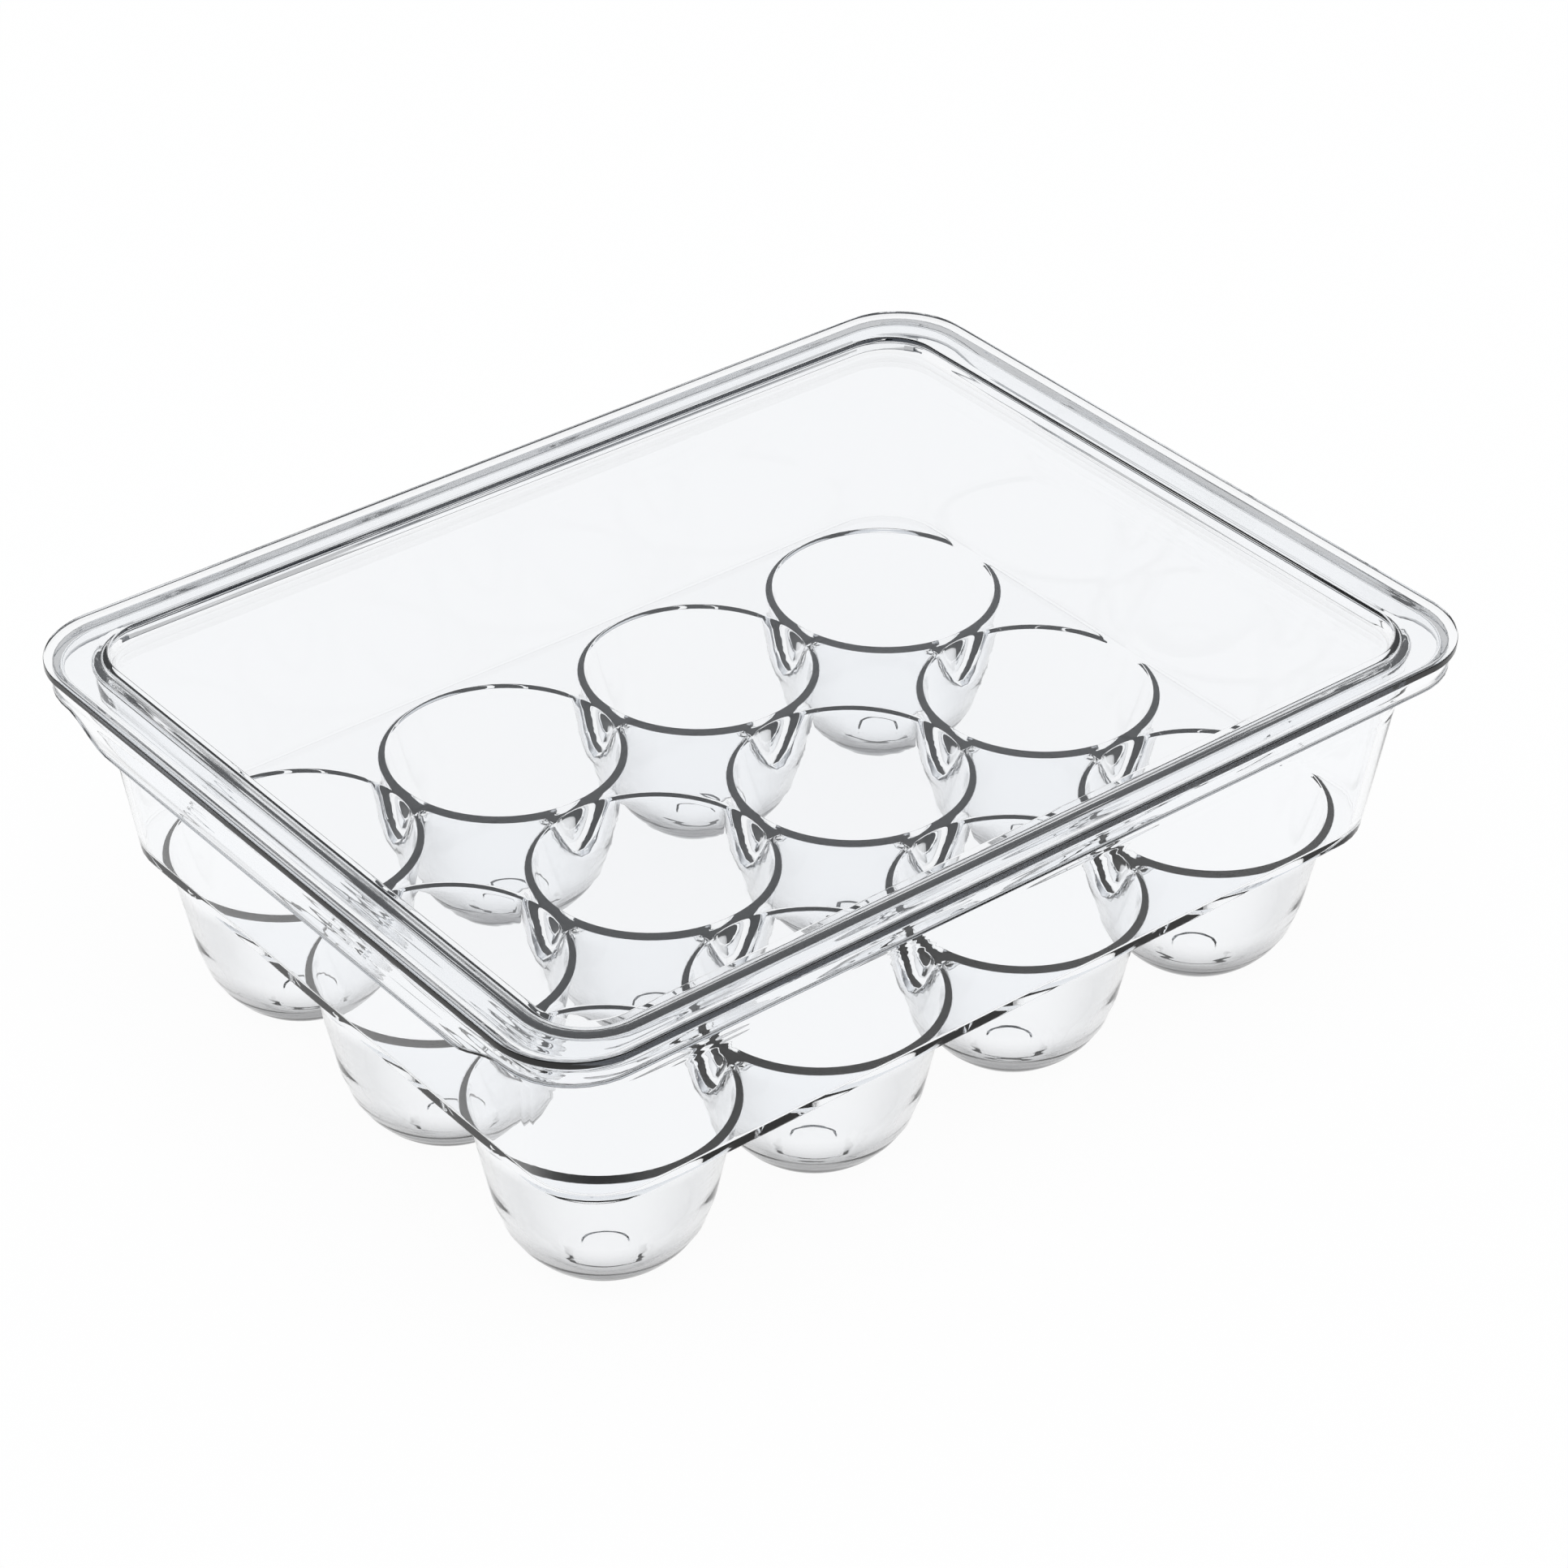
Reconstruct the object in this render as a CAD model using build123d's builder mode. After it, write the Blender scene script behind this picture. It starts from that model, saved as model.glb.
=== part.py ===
from build123d import *
import os
from math import atan, cos, sqrt

# A clear egg keeper for twelve eggs, in millimetres, +Z up, long side along X.
# The origin is the centre of the footprint, on the surface the keeper stands on.
# Two injection mouldings make it: a deep tray with twelve round egg cups in its
# deck, and a lid that lies on the tray's rim and lifts straight off.

os.makedirs("parts", exist_ok=True)

# ---- overall size ----
overall_length = 225.0
overall_width = 175.0
overall_height = 80.0

# ---- egg cups ----
cups_long = 4
cups_short = 3
cup_spacing = 49.8
cup_wall = 1.7
cup_rim_radius = 25.3        # outside of the cup at the deck's top face
cup_lean = 0.198             # sideways run of the cup wall for each millimetre of drop
foot_sink = 1.0              # how much of the round bottom the flat foot cuts away
floor_radius = 9.0           # flat inner floor, where the egg's end sits
gate_radius = 4.5            # round mark moulded into the foot
gate_depth = 0.5
rim_ease = 0.6               # eased edge where the cup opens in the deck

# ---- deck and side wall ----
deck_height = 38.0
deck_thickness = 1.7
wall_thickness = 1.7
wall_spread = 3.8            # how far each side leans out from the deck to the rim
end_ledge = 0.1              # from the end cups' outsides to the wall's outside
side_ledge = 2.0             # the same on the long sides
wall_base_radius = 15.0
wall_top_radius = 14.0

# ---- web between two neighbouring cups ----
web_half_width = 7.5
web_drop = 11.5              # from the deck's top face to the web's lowest point
web_thickness = 4.8

# ---- rim of the tray: flange and downturned apron ----
flange_thickness = 1.6
flange_ease = 0.5
apron_thickness = 1.6
apron_top_inset = 1.7        # from the lid's edge in to the apron's outside, at the top
apron_bottom_inset = 0.9     # the same at the grips' lower edge
apron_height = 4.8           # along the long sides and round the corners
grip_height = 8.6            # in the middle of each end
grip_length = 112.0
grip_slope_length = 14.0
apron_corner_radius = 16.0
mouth_ease = 1.0             # flare at the tray's mouth, which leads the lid in

# ---- lid ----
lid_thickness = 1.6
lid_corner_radius = 17.0
lid_seat_gap = 0.2           # between the tray's rim and the lid at rest
recess_depth = 3.0
recess_lean = 0.45           # sideways run of the recess's wall for each millimetre of drop
plug_clearance = 0.4         # from the recess's underside to the tray's mouth

# ---- derived: heights ----
lid_underside = overall_height - lid_thickness
flange_top = lid_underside - lid_seat_gap
flange_underside = flange_top - flange_thickness
deck_underside = deck_height - deck_thickness
apron_bottom = flange_top - apron_height
grip_bottom = flange_top - grip_height
mouth_height = flange_top - mouth_ease
recess_floor = overall_height - recess_depth
plug_bottom = recess_floor - lid_thickness

# ---- derived: plan sizes of the side wall ----
wall_base_length = (cups_long - 1) * cup_spacing + 2 * (cup_rim_radius + end_ledge)
wall_base_width = (cups_short - 1) * cup_spacing + 2 * (cup_rim_radius + side_ledge)
wall_top_length = wall_base_length + 2 * wall_spread
wall_top_width = wall_base_width + 2 * wall_spread
mouth_length = wall_top_length - 2 * wall_thickness
mouth_width = wall_top_width - 2 * wall_thickness
mouth_radius = wall_top_radius - wall_thickness

# ---- derived: one cup, a cone that runs smoothly into a ball-shaped bottom ----
lean_cos = cos(atan(cup_lean))
ball_radius = (cup_rim_radius - cup_lean * (deck_height + foot_sink)) / (1 / lean_cos - cup_lean)
ball_height = ball_radius - foot_sink
join_height = ball_height - ball_radius * cup_lean * lean_cos
join_radius = ball_radius * lean_cos
foot_radius = sqrt(ball_radius**2 - ball_height**2)
hollow_ball = ball_radius - cup_wall
hollow_rim_radius = cup_rim_radius - cup_wall / lean_cos
hollow_join_height = ball_height - hollow_ball * cup_lean * lean_cos
hollow_join_radius = hollow_ball * lean_cos
floor_height = ball_height - sqrt(hollow_ball**2 - floor_radius**2)


def tapered(low, high):
    """A solid between two rounded rectangles, each a length, width, corner radius and height."""
    with BuildPart() as block:
        for length, width, radius, height in (low, high):
            with BuildSketch(Plane.XY.offset(height)):
                RectangleRounded(length, width, radius)
        loft(ruled=True)
    return block.part


# ---- cup, outside: leaning wall, ball, flat foot ----
with BuildPart() as cup_outside:
    with BuildSketch(Plane.XZ):
        with BuildLine():
            wall_line = Line((cup_rim_radius, deck_height), (join_radius, join_height))
            ball_arc = RadiusArc(wall_line @ 1, (foot_radius, 0), ball_radius)
            Polyline(ball_arc @ 1, (0, 0), (0, deck_height), wall_line @ 0)
        make_face()
    revolve(axis=Axis.Z)

# ---- cup, hollow: eased rim, leaning wall, ball, flat floor ----
with BuildPart() as cup_hollow:
    with BuildSketch(Plane.XZ):
        with BuildLine():
            eased_rim = (hollow_rim_radius + rim_ease, deck_height)
            below_ease = (hollow_rim_radius - cup_lean * rim_ease, deck_height - rim_ease)
            ease_line = Line(eased_rim, below_ease)
            inner_line = Line(below_ease, (hollow_join_radius, hollow_join_height))
            inner_arc = RadiusArc(inner_line @ 1, (floor_radius, floor_height), hollow_ball)
            Polyline(inner_arc @ 1, (0, floor_height), (0, deck_height), eased_rim)
        make_face()
    revolve(axis=Axis.Z)

# ---- web: a shallow U that stands across the gap between two cups in a row ----
with BuildPart() as web:
    with BuildSketch(Plane.YZ.offset(-web_thickness / 2)):
        with Locations((0, deck_underside)):
            Ellipse(web_half_width, web_drop - deck_thickness)
            Rectangle(
                2 * web_half_width,
                web_drop,
                align=(Align.CENTER, Align.MIN),
                mode=Mode.SUBTRACT,
            )
            Rectangle(2 * web_half_width, deck_thickness, align=(Align.CENTER, Align.MIN))
    extrude(amount=web_thickness)

# ---- side wall: a tapered box, its hollow, and the flare at its mouth ----
wall_outside = tapered(
    (wall_base_length, wall_base_width, wall_base_radius, deck_underside),
    (wall_top_length, wall_top_width, wall_top_radius, flange_underside + flange_ease),
)
wall_hollow = tapered(
    (
        wall_base_length - 2 * wall_thickness,
        wall_base_width - 2 * wall_thickness,
        wall_base_radius - wall_thickness,
        deck_height,
    ),
    (mouth_length, mouth_width, mouth_radius, mouth_height),
)
mouth_flare = tapered(
    (mouth_length, mouth_width, mouth_radius, mouth_height),
    (
        mouth_length + 2 * mouth_ease,
        mouth_width + 2 * mouth_ease,
        mouth_radius + mouth_ease,
        flange_top,
    ),
)


def apron_outline(height, inward):
    """The apron's outline at a height, moved inward from its outside face."""
    drop_share = (flange_top - height) / grip_height
    inset = apron_top_inset + (apron_bottom_inset - apron_top_inset) * drop_share + inward
    length = overall_length - 2 * inset
    width = overall_width - 2 * inset
    return (length, width, apron_corner_radius - inward, height)


# ---- flange and apron: a shallow upside-down pan, deeper at the two ends ----
rim_body = tapered(apron_outline(grip_bottom, 0), apron_outline(flange_top - flange_ease, 0))
rim_edge = tapered(
    apron_outline(flange_top - flange_ease, 0),
    apron_outline(flange_top, flange_ease),
)
rim_hollow = tapered(
    apron_outline(grip_bottom, apron_thickness),
    apron_outline(flange_underside, apron_thickness),
)

with BuildPart() as apron_trim:
    with BuildSketch(Plane.YZ.offset(-overall_length / 2)):
        with Locations((0, grip_bottom)):
            Rectangle(overall_width, apron_bottom - grip_bottom, align=(Align.CENTER, Align.MIN))
        with BuildLine():
            Polyline(
                (-grip_length / 2 - grip_slope_length, apron_bottom),
                (-grip_length / 2, grip_bottom),
                (grip_length / 2, grip_bottom),
                (grip_length / 2 + grip_slope_length, apron_bottom),
                close=True,
            )
        make_face(mode=Mode.SUBTRACT)
    extrude(amount=overall_length)

with BuildPart() as rim:
    add(rim_body)
    add(rim_edge)
    add(rim_hollow, mode=Mode.SUBTRACT)
    add(apron_trim.part, mode=Mode.SUBTRACT)

# ---- tray: wall, rim, cups and webs joined into one moulding, then hollowed ----
with BuildPart() as egg_tray:
    add(wall_outside)
    add(rim.part)
    with GridLocations(cup_spacing, cup_spacing, cups_long, cups_short):
        add(cup_outside.part)
    with GridLocations(cup_spacing, cup_spacing, cups_long - 1, cups_short):
        add(web.part)
    with GridLocations(cup_spacing, cup_spacing, cups_long, cups_short - 1):
        add(web.part, rotation=(0, 0, 90))
    add(wall_hollow, mode=Mode.SUBTRACT)
    add(mouth_flare, mode=Mode.SUBTRACT)
    with GridLocations(cup_spacing, cup_spacing, cups_long, cups_short):
        add(cup_hollow.part, mode=Mode.SUBTRACT)
        Cylinder(gate_radius, 2 * gate_depth, mode=Mode.SUBTRACT)


def recess_outline(height, outward):
    """The recess's outline at a height, moved outward from its upper face."""
    plug_side = recess_lean * (height - mouth_height) - plug_clearance
    side = plug_side - lid_thickness / cos(atan(recess_lean)) + outward
    return (mouth_length + 2 * side, mouth_width + 2 * side, mouth_radius + side, height)


# ---- lid: a flat edge that lies on the flange, and a panel sunk into the mouth ----
plug_wall = lid_thickness / cos(atan(recess_lean))
plug = tapered(recess_outline(plug_bottom, plug_wall), recess_outline(lid_underside, plug_wall))
recess = tapered(recess_outline(recess_floor, 0), recess_outline(overall_height, 0))

with BuildPart() as lid:
    with BuildSketch(Plane.XY.offset(lid_underside)):
        RectangleRounded(overall_length, overall_width, lid_corner_radius)
    extrude(amount=lid_thickness)
    add(plug)
    add(recess, mode=Mode.SUBTRACT)

egg_tray.part.label = "egg_tray"
lid.part.label = "lid"

export_step(egg_tray.part, "parts/egg_tray.step")
export_step(lid.part, "parts/lid.step")
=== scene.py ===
import bmesh
import bpy
import numpy as np
from bpy.props import FloatProperty, FloatVectorProperty, IntProperty, PointerProperty
from mathutils import Matrix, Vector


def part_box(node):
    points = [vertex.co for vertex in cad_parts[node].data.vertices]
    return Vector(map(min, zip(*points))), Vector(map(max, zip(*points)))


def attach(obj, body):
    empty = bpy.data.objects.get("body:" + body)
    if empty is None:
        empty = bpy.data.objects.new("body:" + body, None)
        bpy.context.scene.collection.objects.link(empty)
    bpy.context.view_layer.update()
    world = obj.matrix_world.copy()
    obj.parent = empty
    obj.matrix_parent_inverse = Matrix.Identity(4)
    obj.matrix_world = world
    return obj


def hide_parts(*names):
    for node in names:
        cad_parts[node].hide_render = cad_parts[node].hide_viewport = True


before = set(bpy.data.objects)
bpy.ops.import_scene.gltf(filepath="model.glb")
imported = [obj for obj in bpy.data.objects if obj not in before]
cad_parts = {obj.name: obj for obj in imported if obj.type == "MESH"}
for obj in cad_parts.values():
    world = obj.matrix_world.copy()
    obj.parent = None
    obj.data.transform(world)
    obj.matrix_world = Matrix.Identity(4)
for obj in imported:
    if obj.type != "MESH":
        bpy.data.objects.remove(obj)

bl_info = {
    "name": "Clear egg keeper",
    "version": (1, 0, 0),
    "blender": (4, 5, 0),
    "location": "3D View > Sidebar > Egg Keeper",
    "description": "Builds a clear egg keeper: a tray of twelve cups and its lift-off lid",
    "category": "Add Mesh",
}

TRAY_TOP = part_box("egg_tray")[1].z
LID_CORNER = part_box("lid")[1]
LID_TOP = LID_CORNER.z
RIM_HALF = np.array([LID_CORNER.x, LID_CORNER.y])  # half sizes of the lid's outline, and of the rim under it
WELD = 1e-6  # metres: points nearer than this are one point

# How fine the meshes are.
RAYS = 19  # points on each side of a cup's share of the deck
TOP_ROWS = (1, 5, 7, 4, 8)  # rings in a hollow: floor, its edge, ball, cone, rim
UNDER_ROWS = (1, 5, 1, 4, 8, 12, 8)  # rings on a cup: gate mark, its slope, foot, its edge, ball, cone, rim
TOP_DECK_ROWS = 7  # rings from a hollow's rim to the edge of its share of the deck
UNDER_DECK_ROWS = 8  # the same on the underside
TRAY_ARC = 7  # points on each rounded corner of the tray's section
LID_ARC = 8  # the same for the lid
LID_TURNS = 96  # points round the lid

# The camera's sensor and the lamp.
SENSOR_WIDTH = 36  # millimetres
LAMP_WIDTH = 1.0  # radians across, as the lamp is seen from the object
LAMP_TURN = (0.35, -0.25, 0)  # radians from straight down


# ---------------------------------------------------------------- sizes and colours

def length(name, default, description):
    """A size in metres that the panel shows in the scene's own unit."""
    return FloatProperty(name=name, default=default, description=description, unit="LENGTH", precision=5)


def number(name, default, description):
    """A plain number or share."""
    return FloatProperty(name=name, default=default, description=description)


def colour(name, default, description):
    """A colour that the panel shows as a swatch."""
    return FloatVectorProperty(
        name=name, default=default, description=description, subtype="COLOR", size=3, min=0, max=1
    )


def angle(name, degrees, description):
    """An angle that the panel shows in degrees."""
    return FloatProperty(name=name, default=np.radians(degrees), description=description, unit="ROTATION")


class CupSizes(bpy.types.PropertyGroup):
    """The twelve cups and the webs between them."""

    columns: IntProperty(name="Columns", default=4, description="Cups along the long side")
    rows: IntProperty(name="Rows", default=3, description="Cups along the short side")
    spacing: length("Spacing", 0.0498, "From one cup's axis to the next")
    rim_radius: length("Rim radius", 0.0253, "Outside of a cup at the deck's top face")
    wall: length("Wall", 0.0017, "Thickness of a cup's wall")
    lean: number("Lean", 0.198, "Sideways run of the wall for each unit of drop")
    foot_sink: length("Foot sink", 0.001, "How much of the round bottom the flat foot cuts away")
    foot_ease: length("Foot ease", 0.0002, "Height over which the foot rounds into the ball")
    floor_radius: length("Floor radius", 0.009, "Flat inner floor")
    floor_ease: length("Floor ease", 0.00015, "Height over which the inner floor rounds into the ball")
    gate_radius: length("Gate radius", 0.0045, "Round mark in the foot")
    gate_depth: length("Gate depth", 0.0005, "Depth of the round mark")
    gate_slope: length("Gate slope", 0.0012, "Width of the round mark's sloping side")
    rim_ease: length("Rim ease", 0.0014, "Height over which the rim rounds into the deck")
    under_ease: length("Under ease", 0.001, "Height over which the cup's outside rounds into the deck")
    web_half_width: length("Web half width", 0.0073, "Half of the web's chord at the deck")
    web_drop: length("Web drop", 0.0115, "From the deck's top face to the web's lowest point")
    web_round: length("Web round", 0.001, "Height over which the web rounds into the cups")


class TraySizes(bpy.types.PropertyGroup):
    """The deck, the side wall and the rim of the tray."""

    deck_height: length("Deck height", 0.038, "Top face of the deck")
    deck_thickness: length("Deck thickness", 0.0017, "Thickness of the deck")
    wall: length("Wall", 0.0017, "Thickness of the side wall")
    end_ledge: length("End ledge", 0.0001, "From the end cups' outsides to the wall's outside")
    side_ledge: length("Side ledge", 0.002, "The same on the long sides")
    spread: length("Spread", 0.0038, "How far each side leans out from the deck to the rim")
    base_radius: length("Base corner", 0.015, "Corner radius of the wall at the deck")
    top_radius: length("Top corner", 0.014, "Corner radius of the wall at the rim")
    base_ease: length("Base ease", 0.0008, "Rounding where the wall meets the deck")
    flange: length("Flange", 0.0016, "Thickness of the flange")
    apron: length("Apron", 0.0016, "Thickness of the downturned apron")
    apron_inset: length("Apron inset", 0.0017, "From the lid's edge in to the apron, at the flange")
    apron_flare: number("Apron flare", 0.093, "Outward run of the apron for each unit of drop")
    apron_height: length("Apron height", 0.0048, "Height of the apron along the long sides")
    grip_height: length("Grip height", 0.0086, "Height of the apron in the middle of each end")
    grip_half_length: length("Grip half length", 0.056, "Half of the grip's full-height stretch")
    grip_slope: length("Grip slope", 0.014, "Length over which the grip rises to the apron")
    corner_radius: length("Rim corner", 0.017, "Corner radius of the rim's outline")
    mouth_round: length("Mouth round", 0.0015, "Rounding at the mouth")
    under_round: length("Under round", 0.0009, "Rounding between the wall and the flange's underside")
    apron_round: length("Apron round", 0.00075, "Rounding between the flange's underside and the apron")
    edge_round: length("Edge round", 0.0003, "Rounding at the flange's and the apron's edges")


class LidSizes(bpy.types.PropertyGroup):
    """The lid's rim, recess and panel."""

    thickness: length("Thickness", 0.0016, "Thickness of the lid")
    recess_depth: length("Recess depth", 0.003, "From the rim's top down to the panel")
    recess_lean: number("Recess lean", 0.45, "Sideways run of the recess wall for each unit of drop")
    clearance: length("Clearance", 0.0004, "From the sunken part to the tray's mouth")
    top_round: length("Top round", 0.0005, "Rounding at the recess's top edge")
    floor_round: length("Floor round", 0.0006, "Rounding at the recess's bottom")
    edge_round: length("Edge round", 0.00025, "Rounding at the lid's outer edge")


class PlasticLook(bpy.types.PropertyGroup):
    """The clear plastic of both mouldings."""

    tray_tint: colour("Tray tint", (0.976, 0.982, 0.99), "Colour of the tray's plastic")
    lid_tint: colour("Lid tint", (0.985, 0.988, 0.992), "Colour of the lid's plastic")
    # Painted shade: the near-black tint that the marked edges and the feet are painted with.
    painted_shade_tint: colour("Edge tint", (0.005, 0.006, 0.008), "Colour of the plastic at its edges and feet")
    tray_shine: number("Tray shine", 0.0, "Share of the mirror reflection that the tray keeps")
    lid_shine: number("Lid shine", 1.0, "The same for the lid")
    ior: number("Refraction", 1.47, "Index of refraction of the plastic")
    # Where the painted shade on the feet begins, and the further turn over which it grows.
    foot_start: number("Foot start", 0.3, "How far side on a foot is seen where its tint begins")
    foot_shade_span: number("Foot span", 0.3, "Further turn over which that tint grows to its full share")
    ripple: length("Ripple", 0.00001, "Depth of the faint flow ripples that moulding leaves")
    rim_ripple: length("Rim ripple", 0.0003, "Depth of the flow lines along the rim and round the feet")
    rim_start: length("Rim start", 0.062, "Height at which the rim's flow lines begin")
    rim_fade: length("Rim fade", 0.006, "Height over which they grow to their full depth")


class StageSizes(bpy.types.PropertyGroup):
    """The floor, the light and the camera."""

    floor_half: length("Floor half size", 6.0, "Half of the floor's side")
    floor_drop: length("Floor drop", 0.00005, "From the feet down to the floor")
    floor_glow: number("Floor glow", 0.96, "Share of plain white in what is seen of the floor")
    dark_tone: colour("Dark tone", (0.028, 0.036, 0.05), "The world at the front and overhead")
    pale_tone: colour("Pale tone", (0.73, 0.755, 0.79), "The world behind the object")
    lamp_strength: number("Lamp strength", 2.4, "Strength of the lamp overhead")
    camera_place: FloatVectorProperty(
        name="Camera",
        default=(-0.4546, -0.5703, 0.5475),
        description="Where the camera stands",
        subtype="TRANSLATION",
        size=3,
    )
    azimuth: angle("Azimuth", -39.0236, "Turn of the camera about the vertical")
    elevation: angle("Elevation", 34.4901, "How far the camera looks down")
    roll: angle("Roll", 0.4032, "Tilt of the camera about its own axis")
    lens: number("Lens", 103.64, "Focal length in millimetres on a 36 mm wide sensor")


# ---------------------------------------------------------------- shared geometry

def smooth_min(a, b, reach):
    """The lower of a and b, with the corner between them filled by a parabola.

    Where a and b differ by less than reach, the result dips below both by
    reach times the square of one minus their difference over reach, over four.
    """
    near = np.clip(1 - np.abs(a - b) / reach, 0, 1)
    return np.minimum(a, b) - reach * near**2 / 4


def smooth_step(t):
    """Zero below 0, one above 1, and three t squared less two t cubed between."""
    t = np.clip(t, 0, 1)
    return t * t * (3 - 2 * t)


def blend(a, b, share):
    """A mix of a and b: a where share is 0, b where it is 1."""
    return a + (b - a) * share


def rounded_corners(points, radii, steps):
    """An open line through the points, whose inner corners are arcs of the given radii.

    The circle at a corner touches both straight runs; its centre lies on the bisector,
    the radius over the sine of half the corner's angle away. A point just outside each
    end of the arc keeps the shading of the straight run flat.
    """
    points = np.asarray(points, float)
    radii = np.asarray(radii, float)[:, None]
    back = points[:-2] - points[1:-1]
    ahead = points[2:] - points[1:-1]
    back_length = np.linalg.norm(back, axis=1, keepdims=True)
    ahead_length = np.linalg.norm(ahead, axis=1, keepdims=True)
    back = back / back_length
    ahead = ahead / ahead_length
    bisector = back + ahead
    bisector = bisector / np.linalg.norm(bisector, axis=1, keepdims=True)
    half = np.arccos(np.clip((back * bisector).sum(1, keepdims=True), -1, 1))
    touch = radii / np.tan(half)
    centre = points[1:-1] + bisector * radii / np.sin(half)
    along = ahead - back
    along = along / np.linalg.norm(along, axis=1, keepdims=True)
    turn = (np.pi / 2 - half)[:, :, None] * np.linspace(-1, 1, steps)[None, :, None]
    away = along[:, None] * np.sin(turn) - bisector[:, None] * np.cos(turn)
    arcs = centre[:, None] + radii[:, :, None] * away
    lead_of_radius, lead_of_run = 0.4, 0.3
    lead = np.minimum(lead_of_radius * radii, lead_of_run * np.minimum(back_length, ahead_length))
    before = points[1:-1] + back * (touch + lead)
    after = points[1:-1] + ahead * (touch + lead)
    corners = np.concatenate([before[:, None], arcs, after[:, None]], axis=1)
    return np.vstack([points[:1], corners.reshape(-1, 2), points[-1:]])


def outline_frame(points, half, radius):
    """Where points on a rounded rectangle lie on it, as a share of its straight parts and a normal.

    The core is the rectangle of the corner circles' centres. The share is the nearest
    core point over the core's half size, and the normal points from it to the outline.
    """
    core = half - radius
    nearest = np.clip(points, -core, core)
    return nearest / core, (points - nearest) / radius


def outline_at(share, normal, half, radius):
    """Points of a rounded rectangle: the share times the core, plus the radius along the normal."""
    return share * (half - radius) + normal * radius


def depth_inside(points, half, radius):
    """How far points lie inside a rounded rectangle's outline."""
    past = np.abs(points) - (half - radius)
    outside = np.linalg.norm(np.maximum(past, 0), axis=-1)
    return radius - outside - np.minimum(past.max(axis=-1), 0)


def grid_faces(rows, columns, start=0):
    """Four-cornered faces of a grid of rows by columns, whose columns close on themselves."""
    row = np.arange(rows - 1)[:, None] * columns
    here = np.arange(columns)[None, :]
    beside = (here + 1) % columns
    corners = [row + here, row + beside, row + columns + beside, row + columns + here]
    return np.stack(corners, axis=-1).reshape(-1, 4) + start


def marked(places, height, edge=0.0, foot=0.0):
    """Points of five numbers: a place, its height, and how much it takes painted dark shade at an edge and
    at a foot.
    """
    columns = np.broadcast_arrays(places[..., 0], height, edge, foot)[1:]
    return np.concatenate([places] + [column[..., None] for column in columns], axis=-1)


def closed_mesh(name, grids, material, body, nodes):
    """One closed piece made of grids whose edges lie on each other, which replaces CAD nodes.

    Each grid is (rows, columns, 5), closed along its columns: a place, then how much the
    point takes painted dark shade at an edge and at a foot, whose mark also strengthens the
    foot's flow lines. Points that coincide are merged, which also closes the poles, and then
    every face is turned outwards.
    """
    points, faces, count = [], [], 0
    for grid in grids:
        rows, columns = grid.shape[:2]
        points.append(grid.reshape(-1, 5))
        faces.append(grid_faces(rows, columns, count))
        count += rows * columns
    mesh = bpy.data.meshes.new(name)
    points = np.vstack(points)
    mesh.from_pydata(points[:, :3], [], np.vstack(faces))
    # The edge layer holds painted dark shade at the edges; the foot layer holds painted shade on the feet
    # and the strength of their flow lines.
    for column, label in ((3, "edge"), (4, "foot")):
        layer = mesh.attributes.new(label, "FLOAT", "POINT")
        layer.data.foreach_set("value", points[:, column].astype(np.float32))
    shape = bmesh.new()
    shape.from_mesh(mesh)
    bmesh.ops.remove_doubles(shape, verts=shape.verts, dist=WELD)
    bmesh.ops.recalc_face_normals(shape, faces=shape.faces)
    loose = [edge for edge in shape.edges if len(edge.link_faces) != 2]
    shape.to_mesh(mesh)
    shape.free()
    if loose:
        raise RuntimeError(f"{name} has {len(loose)} open edges")
    mesh.polygons.foreach_set("use_smooth", np.ones(len(mesh.polygons), bool))
    mesh.materials.append(material)
    piece = bpy.data.objects.new(name, mesh)
    bpy.context.scene.collection.objects.link(piece)
    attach(piece, body)
    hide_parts(*nodes)
    return piece


# ---------------------------------------------------------------- tray

def cup_height(radius, cup, deck, shell):
    """Height of a cup's surface at a distance from its axis, moved inward by shell.

    A ball about the cup's axis up to where its slope is the wall's lean, and from there
    the straight wall. The ball touches the wall line, so its radius follows from them.
    """
    lean_cos = np.cos(np.arctan(cup.lean))
    ball = (cup.rim_radius - cup.lean * (deck.deck_height + cup.foot_sink)) / (1 / lean_cos - cup.lean)
    centre = ball - cup.foot_sink
    ball = ball - shell
    join_radius = ball * lean_cos
    join_height = centre - ball * cup.lean * lean_cos
    round_part = centre - np.sqrt(np.maximum(ball**2 - radius**2, 0))
    return np.where(radius < join_radius, round_part, join_height + (radius - join_radius) / cup.lean)


def edge_rise(depth, radius):
    """Height gained by a quarter round at an edge: the radius less the circle's height at that depth."""
    depth = np.clip(depth, 0, radius)
    return radius - np.sqrt(depth * (2 * radius - depth))


def wall_size(height, cup, deck, inward):
    """Half sizes and corner radius of the side wall's outline at a height, moved inward."""
    base = np.array([
        (cup.columns - 1) * cup.spacing / 2 + cup.rim_radius + deck.end_ledge,
        (cup.rows - 1) * cup.spacing / 2 + cup.rim_radius + deck.side_ledge,
    ])
    foot = deck.deck_height - deck.deck_thickness
    top = TRAY_TOP - deck.flange
    share = (height - foot) / (top - foot)
    half = base + deck.spread * share - inward
    return half, blend(deck.base_radius, deck.top_radius, share) - inward


def mouth_outline(cup, deck):
    """Half sizes and corner radius of the mouth: the wall's inside, level with the flange's underside."""
    return wall_size(TRAY_TOP - deck.flange, cup, deck, deck.wall)


def rim_width(cup, deck):
    """How far the rim's outline lies out from the mouth's, as the mean of both directions."""
    return (RIM_HALF - mouth_outline(cup, deck)[0]).mean()


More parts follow.
